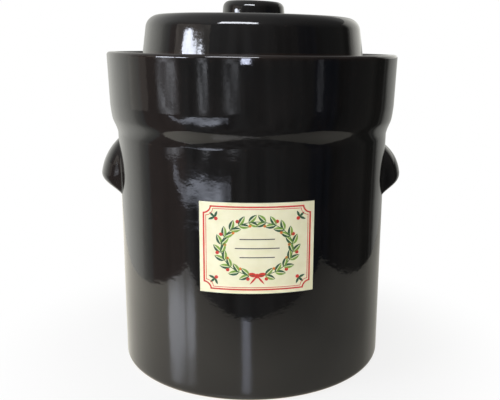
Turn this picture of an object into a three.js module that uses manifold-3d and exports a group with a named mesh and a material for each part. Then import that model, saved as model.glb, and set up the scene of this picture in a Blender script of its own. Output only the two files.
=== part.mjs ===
// A ten-litre stoneware fermentation crock with a water-sealed lid.
// Millimetres, +Z up, origin at the middle of the foot, front of the crock towards -Y.
import * as THREE from "three";
import { mergeVertices } from "three/addons/utils/BufferGeometryUtils.js";
import Module from "manifold-3d";

const wasm = await Module();
wasm.setup();

// Joints: luted pieces are parted by a thin layer of slip, loose pieces by the same small seat gap.
const JOINT_GAP = 0.3;

// Pot: a straight cylinder with a floor, standing on a foot ring.
const POT_RADIUS = 131;
const POT_WALL = 9;
const POT_HEIGHT = 228;
const FLOOR_THICKNESS = 9;
const FLOOR_CORNER_RADIUS = 8;
const FOOT_EDGE_RADIUS = 6.5;
const FOOT_RING_WIDTH = 20;
const FOOT_RECESS = 3;

// Neck ring: the shoulder that closes in over the pot, the floor of the gutter and the neck.
const SHOULDER_RISE = 22;
const SHOULDER_THICKNESS = 10;
const LEDGE_HEIGHT = 7.5;
const NECK_WALL = 8;
const NECK_STAND = 2;
const NECK_FILLET = 4;

// Gutter collar: the outer wall of the water gutter.
const COLLAR_OVERHANG = 9;
const COLLAR_FLARE = 1.8;
const COLLAR_WALL = 9.5;
const COLLAR_LIP_RADIUS = 3;
const COLLAR_COVE_HEIGHT = 19.5;
const COLLAR_LAP = 1;
const COLLAR_EDGE = 0.9;
const COLLAR_FILLET = 2.7;
const GUTTER_DEPTH = 54;

// Lid: a drafted cap whose skirt stands in the gutter, vented by two arches.
const WATER_GAP = 16.5;
const LID_WALL = 8;
const LID_RISE = 36.5;
const LID_TAPER = 0.125;
const LID_SHOULDER_RADIUS = 13;
const LID_CROWN = 1;
const NECK_CLEARANCE = 7;
const VENT_WIDTH = 12;
const VENT_HEIGHT = 9;

// Knob: a low drafted button on the crown of the lid.
const KNOB_RADIUS = 30;
const KNOB_HEIGHT = 11.7;
const KNOB_TAPER = 0.16;
const KNOB_EDGE_RADIUS = 4;
const KNOB_MARGIN = 4;

// Weight stones: two half discs that lie side by side on the floor of the pot.
const STONE_CLEARANCE = 12;
const STONE_THICKNESS = 18;
const STONE_SPLIT = 6;
const STONE_CORNER_RADIUS = 9;
const STONE_EDGE = 2;
const FINGER_NOTCH_RADIUS = 16;

// Handles: pressed ears, one on each side under the collar.
const HANDLE_WIDTH = 94;
const HANDLE_REACH = 20;
const HANDLE_DROP = 4.5;
const HANDLE_TOP_HEIGHT = 33;
const HANDLE_UNDER_HEIGHT = 27.5;
const HANDLE_END_HEIGHT = 0.3;

// Label: a paper rectangle glued round the front of the pot.
const LABEL_WIDTH = 100;
const LABEL_HEIGHT = 80;
const LABEL_DROP = 45;
const LABEL_TURN = THREE.MathUtils.degToRad(1.6);
const LABEL_THICKNESS = 0.3;

// Facets of every turned piece and steps of every curve.
const FACETS = 48;
const ARC_STEPS = 2;
const CURVE_STEPS = 5;
const EAR_STATIONS = 14;

// Heights up the crock.
const floorZ = FOOT_RECESS + FLOOR_THICKNESS;
const neckRingZ = POT_HEIGHT + JOINT_GAP;
const ledgeZ = neckRingZ + LEDGE_HEIGHT;
const collarZ = ledgeZ + JOINT_GAP;
const gutterZ = POT_HEIGHT + SHOULDER_RISE;
const rimZ = gutterZ + GUTTER_DEPTH;
const neckTopZ = rimZ + NECK_STAND;
const lidZ = gutterZ + JOINT_GAP;
const lidTopZ = rimZ + LID_RISE;
const knobZ = lidTopZ + JOINT_GAP;

// Radii from the outside in.
const potInnerRadius = POT_RADIUS - POT_WALL;
const rimRadius = POT_RADIUS + COLLAR_OVERHANG;
const gutterRadius = rimRadius - COLLAR_WALL;
const seatRadius = gutterRadius - COLLAR_FILLET;
const flangeRadius = seatRadius - JOINT_GAP;
const skirtRadius = gutterRadius - WATER_GAP;
const neckRootRadius = skirtRadius - LID_WALL - NECK_CLEARANCE;
const neckLipRadius = neckRootRadius - LID_TAPER * (neckTopZ - gutterZ);
const stoneRadius = potInnerRadius - STONE_CLEARANCE;

const glaze = new THREE.MeshStandardMaterial({ color: 0x1d1714, roughness: 0.12, metalness: 0 });
const bareStoneware = new THREE.MeshStandardMaterial({ color: 0xb7a58b, roughness: 0.85, metalness: 0 });
const paper = new THREE.MeshStandardMaterial({ color: 0xebe2bf, roughness: 0.6, metalness: 0 });

// A closed geometry as a solid that can be cut.
function toSolid(geometry) {
  const bare = geometry.clone();
  bare.deleteAttribute("normal");
  bare.deleteAttribute("uv");
  const merged = mergeVertices(bare);
  return new wasm.Manifold(
    new wasm.Mesh({
      numProp: 3,
      vertProperties: merged.attributes.position.array,
      triVerts: new Uint32Array(merged.index.array),
    }),
  );
}

// A cut solid as a geometry again.
function toGeometry(solid) {
  const { vertProperties, triVerts } = solid.getMesh();
  const geometry = new THREE.BufferGeometry();
  geometry.setAttribute("position", new THREE.BufferAttribute(vertProperties, 3));
  geometry.setIndex(new THREE.BufferAttribute(triVerts, 1));
  geometry.computeVertexNormals();
  return geometry;
}

// An outline of radius against height, turned about the crock's axis.
function turned(outline) {
  const points = outline.getPoints(ARC_STEPS);
  return new THREE.LatheGeometry(points, FACETS).rotateX(Math.PI / 2);
}

function piece(name, geometry, material) {
  const mesh = new THREE.Mesh(geometry, material);
  mesh.name = name;
  return mesh;
}

function potBody() {
  const footRadius = POT_RADIUS - FOOT_EDGE_RADIUS;
  const cornerRadius = potInnerRadius - FLOOR_CORNER_RADIUS;
  const outline = new THREE.Path()
    .moveTo(0, FOOT_RECESS)
    .lineTo(footRadius - FOOT_RING_WIDTH, FOOT_RECESS)
    .lineTo(footRadius - FOOT_RING_WIDTH, 0)
    .lineTo(footRadius, 0)
    .absarc(footRadius, FOOT_EDGE_RADIUS, FOOT_EDGE_RADIUS, -Math.PI / 2, 0)
    .lineTo(POT_RADIUS, POT_HEIGHT)
    .lineTo(potInnerRadius, POT_HEIGHT)
    .absarc(cornerRadius, floorZ + FLOOR_CORNER_RADIUS, FLOOR_CORNER_RADIUS, 0, -Math.PI / 2, true)
    .lineTo(0, floorZ);
  return piece("pot_body", turned(outline), glaze);
}

function neckRing() {
  const lipRadius = NECK_WALL / 2;
  const mouthRadius = neckLipRadius - NECK_WALL;
  const throatRadius = neckRootRadius - NECK_WALL;
  const outline = new THREE.Path()
    .moveTo(potInnerRadius, neckRingZ)
    .lineTo(POT_RADIUS, neckRingZ)
    .lineTo(POT_RADIUS, ledgeZ)
    .lineTo(flangeRadius, ledgeZ)
    .lineTo(flangeRadius, gutterZ)
    .lineTo(neckRootRadius + NECK_FILLET, gutterZ)
    .quadraticCurveTo(neckRootRadius, gutterZ, neckRootRadius, gutterZ + NECK_FILLET)
    .absarc(mouthRadius + lipRadius, neckTopZ - lipRadius, lipRadius, 0, Math.PI)
    .lineTo(throatRadius, gutterZ)
    .bezierCurveTo(
      throatRadius,
      gutterZ - SHOULDER_THICKNESS,
      potInnerRadius,
      gutterZ - SHOULDER_THICKNESS,
      potInnerRadius,
      neckRingZ,
    );
  return piece("neck_ring", turned(outline), glaze);
}

function gutterCollar() {
  const lapZ = POT_HEIGHT + COLLAR_LAP;
  const lapRadius = POT_RADIUS + JOINT_GAP;
  const coveRadius = lapRadius + COLLAR_EDGE;
  const wallZ = lapZ + COLLAR_COVE_HEIGHT;
  const wallRadius = rimRadius - COLLAR_FLARE;
  const lipZ = rimZ - COLLAR_LIP_RADIUS;
  const outline = new THREE.Path()
    .moveTo(seatRadius, collarZ)
    .lineTo(lapRadius, collarZ)
    .lineTo(lapRadius, lapZ)
    .lineTo(coveRadius, lapZ)
    .bezierCurveTo(
      coveRadius,
      lapZ + COLLAR_COVE_HEIGHT * 0.36,
      wallRadius - COLLAR_FLARE,
      lapZ + COLLAR_COVE_HEIGHT * 0.5,
      wallRadius,
      wallZ,
    )
    .absarc(rimRadius - COLLAR_LIP_RADIUS, lipZ, COLLAR_LIP_RADIUS, 0, Math.PI / 2)
    .absarc(gutterRadius + COLLAR_LIP_RADIUS, lipZ, COLLAR_LIP_RADIUS, Math.PI / 2, Math.PI)
    .lineTo(gutterRadius, gutterZ + COLLAR_FILLET)
    .quadraticCurveTo(gutterRadius, gutterZ, seatRadius, gutterZ)
    .lineTo(seatRadius, collarZ);
  return piece("gutter_collar", turned(outline), glaze);
}

// An arch that runs right across the skirt of the lid, from front to back.
function ventCutter() {
  const springZ = VENT_HEIGHT - VENT_WIDTH / 2;
  const arch = new THREE.Shape()
    .moveTo(-VENT_WIDTH / 2, -VENT_HEIGHT)
    .lineTo(VENT_WIDTH / 2, -VENT_HEIGHT)
    .absarc(0, springZ, VENT_WIDTH / 2, 0, Math.PI);
  const settings = { depth: 2 * POT_RADIUS, bevelEnabled: false, curveSegments: CURVE_STEPS };
  return new THREE.ExtrudeGeometry(arch, settings)
    .translate(0, 0, -POT_RADIUS)
    .rotateX(Math.PI / 2)
    .translate(0, 0, lidZ);
}

// The round shoulder between the lid's skirt and its crown, at one distance inside the outer skin.
function lidSkin(inset) {
  const draft = Math.atan(LID_TAPER);
  const shoulderRadius = Math.max(LID_SHOULDER_RADIUS - inset, 1);
  const shoulderTopZ = lidTopZ - LID_CROWN - inset;
  const shoulderZ = shoulderTopZ - shoulderRadius;
  const startZ = shoulderZ + shoulderRadius * Math.sin(draft);
  const startRadius = skirtRadius - inset - LID_TAPER * (startZ - lidZ);
  const centreRadius = startRadius - shoulderRadius * Math.cos(draft);
  return { draft, shoulderRadius, shoulderZ, centreRadius };
}

function lid() {
  const outer = lidSkin(0);
  const inner = lidSkin(LID_WALL);
  const knobSeatRadius = KNOB_RADIUS + KNOB_MARGIN;
  const outline = new THREE.Path()
    .moveTo(0, lidTopZ - LID_CROWN - LID_WALL)
    .lineTo(inner.centreRadius, lidTopZ - LID_CROWN - LID_WALL)
    .absarc(inner.centreRadius, inner.shoulderZ, inner.shoulderRadius, Math.PI / 2, inner.draft, true)
    .lineTo(skirtRadius - LID_WALL, lidZ)
    .lineTo(skirtRadius, lidZ)
    .absarc(outer.centreRadius, outer.shoulderZ, outer.shoulderRadius, outer.draft, Math.PI / 2)
    .lineTo(knobSeatRadius, lidTopZ)
    .lineTo(0, lidTopZ);
  const vented = toSolid(turned(outline)).subtract(toSolid(ventCutter()));
  return piece("lid", toGeometry(vented), glaze);
}

function lidKnob() {
  const draft = Math.atan(KNOB_TAPER);
  const edgeZ = knobZ + KNOB_HEIGHT - KNOB_EDGE_RADIUS;
  const startZ = edgeZ + KNOB_EDGE_RADIUS * Math.sin(draft);
  const edgeRadius = KNOB_RADIUS - KNOB_TAPER * (startZ - knobZ) - KNOB_EDGE_RADIUS * Math.cos(draft);
  const outline = new THREE.Path()
    .moveTo(0, knobZ)
    .lineTo(KNOB_RADIUS, knobZ)
    .absarc(edgeRadius, edgeZ, KNOB_EDGE_RADIUS, draft, Math.PI / 2)
    .lineTo(0, knobZ + KNOB_HEIGHT);
  return piece("lid_knob", turned(outline), glaze);
}

// The half disc towards -Y: an arc, two round corners and a straight edge with a finger notch.
function weightStone(name, turn) {
  const edgeY = -STONE_SPLIT / 2;
  const cornerY = edgeY - STONE_CORNER_RADIUS;
  const cornerX = Math.sqrt((stoneRadius - STONE_CORNER_RADIUS) ** 2 - cornerY ** 2);
  const cornerAngle = Math.atan2(-cornerY, cornerX);
  const outline = new THREE.Shape()
    .moveTo(FINGER_NOTCH_RADIUS, edgeY)
    .absarc(0, edgeY, FINGER_NOTCH_RADIUS, 0, -Math.PI, true)
    .absarc(-cornerX, cornerY, STONE_CORNER_RADIUS, Math.PI / 2, Math.PI + cornerAngle)
    .absarc(0, 0, stoneRadius, Math.PI + cornerAngle, 2 * Math.PI - cornerAngle)
    .absarc(cornerX, cornerY, STONE_CORNER_RADIUS, -cornerAngle, Math.PI / 2);
  const slab = new THREE.ExtrudeGeometry(outline, {
    depth: STONE_THICKNESS - 2 * STONE_EDGE,
    bevelThickness: STONE_EDGE,
    bevelSize: STONE_EDGE,
    bevelOffset: -STONE_EDGE,
    bevelSegments: 1,
    curveSegments: CURVE_STEPS * 2,
  });
  const stone = piece(name, slab, bareStoneware);
  stone.rotation.z = turn;
  stone.position.z = floorZ + JOINT_GAP + STONE_EDGE;
  return stone;
}

// Section of an ear, as reach from the pot's wall against height from the nose.
function earSection() {
  return new THREE.Path()
    .moveTo(0, HANDLE_TOP_HEIGHT)
    .quadraticCurveTo(HANDLE_REACH, HANDLE_TOP_HEIGHT / 2, HANDLE_REACH, 0)
    .bezierCurveTo(
      HANDLE_REACH,
      -HANDLE_UNDER_HEIGHT * 0.45,
      HANDLE_REACH * 0.2,
      -HANDLE_UNDER_HEIGHT * 0.6,
      0,
      -HANDLE_UNDER_HEIGHT,
    )
    .getPoints(CURVE_STEPS);
}

// An ear swept round the wall: its reach falls off as a parabola, and its height follows a blunt oval.
function earSweep() {
  const section = earSection();
  const noseZ = POT_HEIGHT - HANDLE_DROP - HANDLE_TOP_HEIGHT;
  const halfAngle = HANDLE_WIDTH / 2 / POT_RADIUS;
  const ringSize = section.length + 2;
  const positions = [];
  for (let i = 0; i <= EAR_STATIONS; i++) {
    const along = -Math.cos((Math.PI * i) / EAR_STATIONS);
    const fullness = 1 - along ** 2;
    const tall = Math.sqrt(1 - (1 - HANDLE_END_HEIGHT ** 2) * along ** 4);
    const ring = [
      [-POT_WALL / 2, HANDLE_TOP_HEIGHT],
      ...section.map((point) => [point.x * fullness, point.y]),
      [-POT_WALL / 2, -HANDLE_UNDER_HEIGHT],
    ];
    for (const [reach, height] of ring) {
      const radius = POT_RADIUS + reach;
      const angle = along * halfAngle;
      positions.push(radius * Math.cos(angle), radius * Math.sin(angle), noseZ + height * tall);
    }
  }
  const faces = [];
  for (let i = 0; i < EAR_STATIONS; i++) {
    for (let j = 0; j < ringSize; j++) {
      const a = i * ringSize + j;
      const b = i * ringSize + ((j + 1) % ringSize);
      faces.push(a, b, a + ringSize, b, b + ringSize, a + ringSize);
    }
  }
  const last = EAR_STATIONS * ringSize;
  for (let j = 1; j < ringSize - 1; j++) {
    faces.push(0, j + 1, j);
    faces.push(last, last + j, last + j + 1);
  }
  const geometry = new THREE.BufferGeometry();
  geometry.setAttribute("position", new THREE.Float32BufferAttribute(positions, 3));
  geometry.setIndex(faces);
  return geometry;
}

// An ear seated on the wall, with the slip joint between.
function handle(name, turn) {
  const wall = new THREE.Path()
    .moveTo(0, 0)
    .lineTo(POT_RADIUS + JOINT_GAP, 0)
    .lineTo(POT_RADIUS + JOINT_GAP, POT_HEIGHT)
    .lineTo(0, POT_HEIGHT);
  const seated = toSolid(earSweep()).subtract(toSolid(turned(wall)));
  const ear = piece(name, toGeometry(seated), glaze);
  ear.rotation.z = turn;
  return ear;
}

function label() {
  const innerRadius = POT_RADIUS + JOINT_GAP;
  const outerRadius = innerRadius + LABEL_THICKNESS;
  const topZ = POT_HEIGHT - LABEL_DROP;
  const bottomZ = topZ - LABEL_HEIGHT;
  const band = new THREE.Path()
    .moveTo(innerRadius, bottomZ)
    .lineTo(outerRadius, bottomZ)
    .lineTo(outerRadius, topZ)
    .lineTo(innerRadius, topZ)
    .lineTo(innerRadius, bottomZ);
  const halfAngle = LABEL_WIDTH / 2 / POT_RADIUS;
  const reach = 2 * POT_RADIUS;
  const front = -Math.PI / 2 + LABEL_TURN;
  const sector = new THREE.Shape()
    .moveTo(0, 0)
    .lineTo(reach * Math.cos(front - halfAngle), reach * Math.sin(front - halfAngle))
    .lineTo(reach * Math.cos(front + halfAngle), reach * Math.sin(front + halfAngle));
  const wedge = new THREE.ExtrudeGeometry(sector, { depth: POT_HEIGHT, bevelEnabled: false });
  const sheet = toSolid(turned(band)).intersect(toSolid(wedge));
  return piece("label", toGeometry(sheet), paper);
}

const crockGroup = new THREE.Group();
crockGroup.add(potBody(), neckRing(), gutterCollar());
crockGroup.add(handle("handle_left", Math.PI), handle("handle_right", 0), label());

const lidGroup = new THREE.Group();
lidGroup.add(lid(), lidKnob());

const stoneGroup = new THREE.Group();
stoneGroup.add(weightStone("weight_stone_front", 0), weightStone("weight_stone_back", Math.PI));

const fermentationCrock = new THREE.Group();
fermentationCrock.add(crockGroup, lidGroup, stoneGroup);

export default fermentationCrock;
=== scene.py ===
"""A ten-litre stoneware fermentation crock with a water-sealed lid, dressed for rendering.

Metres, +Z up, front towards -Y. Every piece stands where its CAD node stands.
"""

import math

import bmesh
import bpy
from mathutils import Matrix, Vector


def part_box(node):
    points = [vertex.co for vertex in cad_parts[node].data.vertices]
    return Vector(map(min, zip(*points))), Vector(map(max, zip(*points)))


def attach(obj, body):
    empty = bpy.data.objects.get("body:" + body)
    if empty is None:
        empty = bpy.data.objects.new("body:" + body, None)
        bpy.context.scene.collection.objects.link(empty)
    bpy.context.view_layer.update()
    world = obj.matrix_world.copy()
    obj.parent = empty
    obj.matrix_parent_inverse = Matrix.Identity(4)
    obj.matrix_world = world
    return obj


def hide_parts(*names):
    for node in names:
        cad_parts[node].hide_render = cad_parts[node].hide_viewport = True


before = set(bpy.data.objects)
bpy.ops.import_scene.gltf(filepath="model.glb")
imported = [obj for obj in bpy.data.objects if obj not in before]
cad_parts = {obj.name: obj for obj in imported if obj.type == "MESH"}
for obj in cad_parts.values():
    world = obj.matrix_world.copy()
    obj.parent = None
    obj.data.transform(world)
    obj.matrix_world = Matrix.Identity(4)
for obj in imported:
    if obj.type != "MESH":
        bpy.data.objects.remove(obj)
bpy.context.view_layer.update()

MM = 0.001
FULL_TURN = 2 * math.pi

# Sizes read from the frame
POT_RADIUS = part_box("pot_body")[1].x
POT_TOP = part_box("pot_body")[1].z
NECK_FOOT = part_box("neck_ring")[0].z
NECK_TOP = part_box("neck_ring")[1].z
RIM_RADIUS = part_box("gutter_collar")[1].x
RIM_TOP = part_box("gutter_collar")[1].z
COLLAR_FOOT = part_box("gutter_collar")[0].z
LID_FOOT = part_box("lid")[0].z
LID_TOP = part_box("lid")[1].z
SKIRT_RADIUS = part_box("lid")[1].x
KNOB_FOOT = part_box("lid_knob")[0].z
KNOB_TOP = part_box("lid_knob")[1].z
KNOB_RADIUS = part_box("lid_knob")[1].x
STONE_RADIUS = -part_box("weight_stone_front")[0].y
STONE_SPLIT = -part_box("weight_stone_front")[1].y
STONE_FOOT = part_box("weight_stone_front")[0].z
STONE_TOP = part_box("weight_stone_front")[1].z
EAR_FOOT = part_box("handle_right")[0].z
EAR_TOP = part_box("handle_right")[1].z
EAR_HEIGHT = EAR_TOP - EAR_FOOT
EAR_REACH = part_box("handle_right")[1].x - POT_RADIUS
LABEL_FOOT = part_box("label")[0].z
LABEL_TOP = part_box("label")[1].z
LABEL_FACE = -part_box("label")[0].y
LABEL_MIDDLE = (LABEL_FOOT + LABEL_TOP) / 2

# Sizes the frame's boxes don't give
POT_WALL = 9 * MM
FLOOR_TOP = 12 * MM
FLOOR_CORNER = 8 * MM
FOOT_EDGE = 6.5 * MM
FOOT_RING = 20 * MM
FOOT_RING_EDGE = 1.2 * MM
FOOT_RECESS = 3 * MM
BARE_FOOT = 2 * MM
GUTTER_FLOOR = 250 * MM
GUTTER_THICKNESS = 10 * MM
LEDGE_TOP = NECK_FOOT + 7.5 * MM
NECK_ROOT = 99 * MM
NECK_LIP = 92 * MM
NECK_WALL = 8 * MM
NECK_EDGE = 0.48 * NECK_WALL
NECK_FILLET = 4 * MM
COLLAR_WALL = 9.5 * MM
COLLAR_FLARE = 1.6 * MM
COLLAR_LIP = 3 * MM
COLLAR_FILLET = 2.7 * MM
COVE_RADIUS = POT_RADIUS + 1.1 * MM
COVE_HEIGHT = 14 * MM
COVE_DEPTH = 4.65 * MM
COVE_SLOPE = math.tan(math.radians(13))
COVE_RUNOUT = (0.7 * MM, 5.3 * MM)
LIP_HEIGHT = 27 * MM
LIP_BEND = 3.4 * MM
LAP = 6 * MM
LAP_STEP = 0.25 * MM
DRAFT_START = 165 * MM
DRAFT = 1 * MM
LID_WALL = 8 * MM
LID_TAPER = 0.139
LID_CROWN = 2.7 * MM
LID_SHOULDER = 12.3 * MM
LID_INNER_ROUND = 5 * MM
SKIRT_EDGE = 2.5 * MM
SKIRT_INNER_EDGE = 1.5 * MM
BARE_SKIRT = 1.2 * MM
CROWN_FLAT = 4 * MM
CROWN_TIP = 0.0045
VENT_WIDTH = 12 * MM
VENT_HEIGHT = 9 * MM
KNOB_TAPER = 0.1
KNOB_EDGE = 6.5 * MM
KNOB_CROWN = 0.1 * MM
KNOB_TIP = 0.02
STONE_CORNER = 9 * MM
STONE_EDGE = 2 * MM
SLIVER = 0.02 * MM
FINGER_NOTCH = 16 * MM
EAR_WIDTH = 76 * MM
EAR_TAIL = 1.2
EAR_CROWN = 2 * MM
EAR_LEAN = 0.4
EAR_FILLET = 0.08
EAR_ROUND = 20 * MM
EAR_UNDER_ROUND = 1.5 * MM
EAR_SINK = 0.4 * MM
EAR_JOINT_RISE = 1.0 * MM
EAR_JOINT_BEND = (0.5 * MM, 0.2 * MM)
EAR_BROW_START = (1.8 * MM, 1.6 * MM)
EAR_ROOT_PULL = 0.2
EAR_NOSE_ROUND = 3 * MM
EAR_NOSE = EAR_FOOT + EAR_HEIGHT * 0.455
LABEL_WIDTH = 100 * MM
LABEL_TURN = math.radians(1.6)
PAPER_THICKNESS = 0.3 * MM
INK_LIFT = 0.09 * MM
INK_DEPTH = 0.12 * MM
PRINT_STANDOFF = 10 * MM

# Waves of the joint under the collar: how many go round, how deep, and where the first one starts
JOINT_WAVES = ((6, -0.5 * MM, -0.25), (5, 0.4 * MM, 1.2))

# How deep pieces that are fired together run into each other
BUTT = 0.3 * MM

# Fineness of the meshes
TURN_STEPS = 192
ROW_HEIGHT = 6 * MM
EAR_STEPS = 64
NOTCH_STEPS = 64
PAPER_STEPS = 48
PAPER_ROW = 3 * MM
PRINT_ROW = 4 * MM


def linear(hex_colour):
    """An sRGB hex colour as linear RGBA."""
    parts = [int(hex_colour[i:i + 2], 16) / 255 for i in (1, 3, 5)]
    return tuple(c / 12.92 if c < 0.04045 else ((c + 0.055) / 1.055) ** 2.4 for c in parts) + (1.0,)


def add_node(tree, kind, inputs=None, **settings):
    """Adds one node with its settings; an input is a value or another node's output."""
    node = tree.nodes.new(kind)
    for name, value in settings.items():
        setattr(node, name, value)
    for socket, value in (inputs or {}).items():
        if isinstance(value, bpy.types.NodeSocket):
            tree.links.new(value, node.inputs[socket])
        else:
            node.inputs[socket].default_value = value
    return node


def set_ramp(node, stops):
    """Gives a Color Ramp node its stops, each a place and a colour."""
    elements = node.color_ramp.elements
    while len(elements) < len(stops):
        elements.new(1.0)
    for element, (place, colour) in zip(elements, stops):
        element.position = place
        element.color = colour


# Camera at the photograph's viewing angle
CAMERA_PLACE = Vector((0, -0.6943, 0.3122))
CAMERA_PITCH = math.radians(12.65)
CAMERA_YAW = math.radians(2.71)
CAMERA_ROLL = math.radians(0.75)
camera = bpy.data.objects.new("camera", bpy.data.cameras.new("camera"))
bpy.context.scene.collection.objects.link(camera)
camera.data.sensor_fit = "HORIZONTAL"
camera.data.sensor_width = 36
camera.data.lens = 49.78
camera.data.shift_x = -0.07
camera.data.clip_start = 0.01
aim = Vector((math.sin(CAMERA_YAW) * math.cos(CAMERA_PITCH),
              math.cos(CAMERA_YAW) * math.cos(CAMERA_PITCH),
              -math.sin(CAMERA_PITCH)))
level = Vector((math.cos(CAMERA_YAW), -math.sin(CAMERA_YAW), 0))
upright = level.cross(aim)
across = math.cos(CAMERA_ROLL) * level + math.sin(CAMERA_ROLL) * upright
up = math.cos(CAMERA_ROLL) * upright - math.sin(CAMERA_ROLL) * level
camera.matrix_world = Matrix.Translation(CAMERA_PLACE) @ Matrix((across, up, -aim)).transposed().to_4x4()
bpy.context.scene.camera = camera
bpy.context.scene.view_settings.view_transform = "Standard"


# Modelling steps
def start_point(name, radius, height):
    """A new mesh of a single point on the outline plane, left in edit mode."""
    bpy.ops.object.select_all(action="DESELECT")
    bpy.ops.mesh.primitive_plane_add(size=MM, location=(0, 0, 0))
    piece = bpy.context.object
    piece.name = name
    piece.data.name = name
    bpy.ops.object.mode_set(mode="EDIT")
    bpy.ops.mesh.select_mode(type="VERT")
    bpy.ops.mesh.merge(type="CENTER")
    bpy.ops.transform.translate(value=(radius, 0, height))
    return piece


def draw_outline(name, points):
    """An open outline of radius against height, extruded point by point."""
    piece = start_point(name, *points[0])
    for (radius, height), (next_radius, next_height) in zip(points, points[1:]):
        step = (next_radius - radius, 0, next_height - height)
        bpy.ops.mesh.extrude_region_move(TRANSFORM_OT_translate={"value": step})
    return piece


def pick(piece, test, kind="verts"):
    """Selects the points, edges or faces whose middle passes a test of its place."""
    bpy.ops.mesh.select_mode(type={"verts": "VERT", "edges": "EDGE", "faces": "FACE"}[kind])
    bpy.ops.mesh.select_all(action="DESELECT")
    mesh = bmesh.from_edit_mesh(piece.data)
    for item in getattr(mesh, kind):
        if kind == "verts":
            place = item.co
        elif kind == "edges":
            place = (item.verts[0].co + item.verts[1].co) / 2
        else:
            place = item.calc_center_median()
        if test(place):
            item.select_set(True)
    mesh.select_flush_mode()
    bmesh.update_edit_mesh(piece.data)


def round_corner(piece, radius, height, size, steps):
    """Rounds one corner of an outline; size is how far along each side the round starts."""
    corner = Vector((radius, 0, height))
    pick(piece, lambda place: (place - corner).length < 0.02 * MM)
    bpy.ops.mesh.bevel(affect="VERTICES", offset=size, segments=steps, profile=0.5)


def split_long_edges(piece, longest):
    """Halves edges until none is longer than asked, so that a surface can swell gently."""
    while True:
        bpy.ops.mesh.select_mode(type="EDGE")
        bpy.ops.mesh.select_all(action="DESELECT")
        mesh = bmesh.from_edit_mesh(piece.data)
        long_edges = [edge for edge in mesh.edges if edge.calc_length() > longest]
        if not long_edges:
            return
        for edge in long_edges:
            edge.select_set(True)
        bmesh.update_edit_mesh(piece.data)
        bpy.ops.mesh.subdivide(number_cuts=1)


def close_outline(piece):
    """Joins the two ends of an open outline."""
    mesh = bmesh.from_edit_mesh(piece.data)
    ends = [point.co.copy() for point in mesh.verts if len(point.link_edges) == 1]
    pick(piece, lambda place: any((place - end).length < 1e-7 for end in ends))
    bpy.ops.mesh.edge_face_add()


def turn_outline(piece):
    """Spins an outline once round the crock's axis and closes the seam."""
    split_long_edges(piece, ROW_HEIGHT)
    bpy.ops.mesh.select_mode(type="VERT")
    bpy.ops.mesh.select_all(action="SELECT")
    bpy.ops.mesh.spin(steps=TURN_STEPS, angle=FULL_TURN, center=(0, 0, 0), axis=(0, 0, 1))
    close_mesh(piece)


def close_mesh(piece):
    """Merges doubles, turns every face outwards and leaves edit mode."""
    bpy.ops.mesh.select_all(action="SELECT")
    bpy.ops.mesh.remove_doubles(threshold=1e-6)
    bpy.ops.mesh.normals_make_consistent(inside=False)
    bpy.ops.object.mode_set(mode="OBJECT")
    bpy.ops.object.shade_smooth_by_angle(angle=math.radians(40))


def apply_modifier(piece, kind, **settings):
    """Adds a modifier to the active piece and applies it."""
    modifier = piece.modifiers.new(kind.lower(), kind)
    for name, value in settings.items():
        setattr(modifier, name, value)
    bpy.context.view_layer.objects.active = piece
    bpy.ops.object.modifier_apply(modifier=modifier.name)


def make_uneven(piece, swell, depth):
    """The hand-thrown wall: a gentle swell of the surface, a fraction of a millimetre deep."""
    waves = bpy.data.textures.new(piece.name + "_swell", "CLOUDS")
    waves.noise_scale = swell
    waves.noise_depth = 1
    apply_modifier(piece, "DISPLACE", texture=waves, texture_coords="LOCAL", strength=depth, mid_level=0.5)


def tip_top(piece, foot, top, slope):
    """The hand-made top is a little askew: it falls to the right, more so the higher a point lies."""
    for point in piece.data.vertices:
        share = min(max((point.co.z - foot) / (top - foot), 0), 1)
        point.co.z -= share * slope * point.co.x


def bezier(points, steps):
    """Points along a Bezier curve of any degree, its first point left out."""
    found = []
    for i in range(1, steps + 1):
        row = [Vector(point) for point in points]
        while len(row) > 1:
            row = [a.lerp(b, i / steps) for a, b in zip(row, row[1:])]
        found.append(tuple(row[0]))
    return found


# Turned pieces
def make_pot():
    ring_inside = POT_RADIUS - FOOT_EDGE - FOOT_RING
    top = POT_TOP + BUTT
    inside = POT_RADIUS - POT_WALL
    pot = draw_outline("pot", [
        (0, FOOT_RECESS), (ring_inside, FOOT_RECESS), (ring_inside, 0), (POT_RADIUS, 0),
        (POT_RADIUS, DRAFT_START), (POT_RADIUS + DRAFT, top), (inside, top), (inside, FLOOR_TOP),
        (0, FLOOR_TOP),
    ])
    round_corner(pot, ring_inside, 0, FOOT_RING_EDGE, 3)
    round_corner(pot, POT_RADIUS, 0, FOOT_EDGE, 8)
    round_corner(pot, inside, FLOOR_TOP, FLOOR_CORNER, 8)
    turn_outline(pot)
    return pot


def make_neck():
    throat = NECK_ROOT - NECK_WALL
    mouth = NECK_LIP - NECK_WALL
    inside = POT_RADIUS - POT_WALL
    flange = RIM_RADIUS - COLLAR_WALL - COLLAR_FILLET
    under = GUTTER_FLOOR - GUTTER_THICKNESS
    neck = draw_outline("neck", [
        (inside, NECK_FOOT), (POT_RADIUS, NECK_FOOT), (POT_RADIUS, LEDGE_TOP), (flange, LEDGE_TOP),
        (flange, GUTTER_FLOOR), (NECK_ROOT, GUTTER_FLOOR), (NECK_LIP, NECK_TOP), (mouth, NECK_TOP),
        (throat, GUTTER_FLOOR),
        *bezier([(throat, GUTTER_FLOOR), (throat, under), (inside, under), (inside, NECK_FOOT)], 12)[:-1],
    ])
    close_outline(neck)
    round_corner(neck, NECK_ROOT, GUTTER_FLOOR, NECK_FILLET, 5)
    round_corner(neck, NECK_LIP, NECK_TOP, NECK_EDGE, 6)
    round_corner(neck, mouth, NECK_TOP, NECK_EDGE, 6)
    turn_outline(neck)
    return neck


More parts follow.
